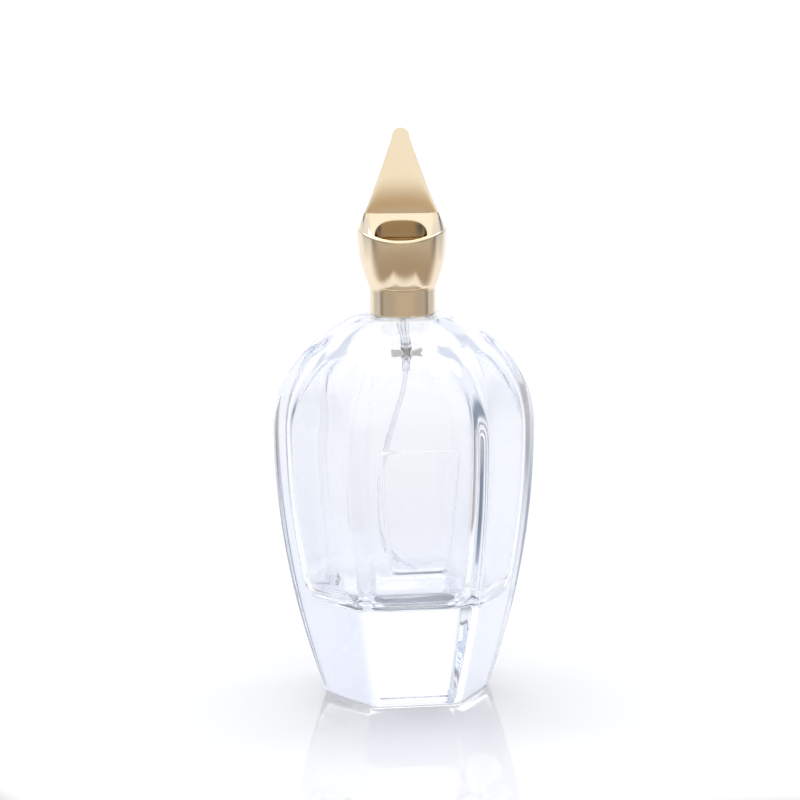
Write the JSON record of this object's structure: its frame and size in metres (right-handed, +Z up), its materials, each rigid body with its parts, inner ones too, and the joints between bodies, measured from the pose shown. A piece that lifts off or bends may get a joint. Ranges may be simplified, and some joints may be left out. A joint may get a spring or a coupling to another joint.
{
  "type": "perfume bottle",
  "caption": "Clear hexagonal egg-shaped glass perfume bottle with a thick base, a crimped spray pump with curved dip tube and a polished gold cap with a pointed fin.",
  "frame": {"origin": "centre of the glass base, on the surface the bottle stands on", "axes": "+Z up through the neck and cap; -Y is the front facet with the label seat; +X to the viewer's right when facing the front"},
  "size_m": [0.0768, 0.0676, 0.166],
  "materials": {
    "clear_glass": "clear, fire-polished",
    "gold_plated_metal": "mirror-polished pale gold",
    "gold_aluminium": "polished gold anodised",
    "plain_aluminium": "bright rolled",
    "steel": "bright",
    "white_plastic": "satin moulded",
    "clear_plastic": "translucent moulded",
    "tube_plastic": "clear extruded",
    "dark_rubber": "matte"
  },
  "bodies": {
    "bottle": {"bottle_glass": "clear_glass", "neck_gasket": "dark_rubber", "crimp_ferrule": "plain_aluminium", "pump_housing": "clear_plastic", "stem_seal": "dark_rubber", "turret_bushing": "white_plastic", "dip_tube": "tube_plastic", "return_spring": "steel"},
    "collar": {"neck_collar": "gold_aluminium"},
    "cap": {"cap_shell": "gold_plated_metal", "cap_liner": "white_plastic"},
    "plunger": {"pump_stem": "white_plastic", "piston": "clear_plastic", "poppet": "white_plastic"},
    "button": {"button_core": "white_plastic", "button_shell": "gold_aluminium", "nozzle_insert": "white_plastic"},
    "check_ball": {"inlet_ball": "steel"}
  },
  "joints": [
    {"name": "collar_turn", "type": "hinge", "parent": "bottle", "child": "collar", "pos_m": [0, 0, 0.118], "axis": [0, 0, 1], "continuous": true},
    {"name": "cap_lift", "type": "slide", "parent": "collar", "child": "cap", "axis": [0, 0, 1], "range_m": [0, 0.03]},
    {"name": "spray_press", "type": "slide", "parent": "bottle", "child": "plunger", "axis": [0, 0, -1], "range_m": [0, 0.0035], "stiffness_N_per_m": 2000, "springref_m": -0.003, "deforming": ["return_spring"]},
    {"name": "spray_turn", "type": "hinge", "parent": "plunger", "child": "button", "pos_m": [0, 0, 0.1284], "axis": [0, 0, 1], "continuous": true},
    {"name": "ball_lift", "type": "slide", "parent": "bottle", "child": "check_ball", "axis": [0, 0, 1], "range_m": [0, 0.0005]}
  ]
}
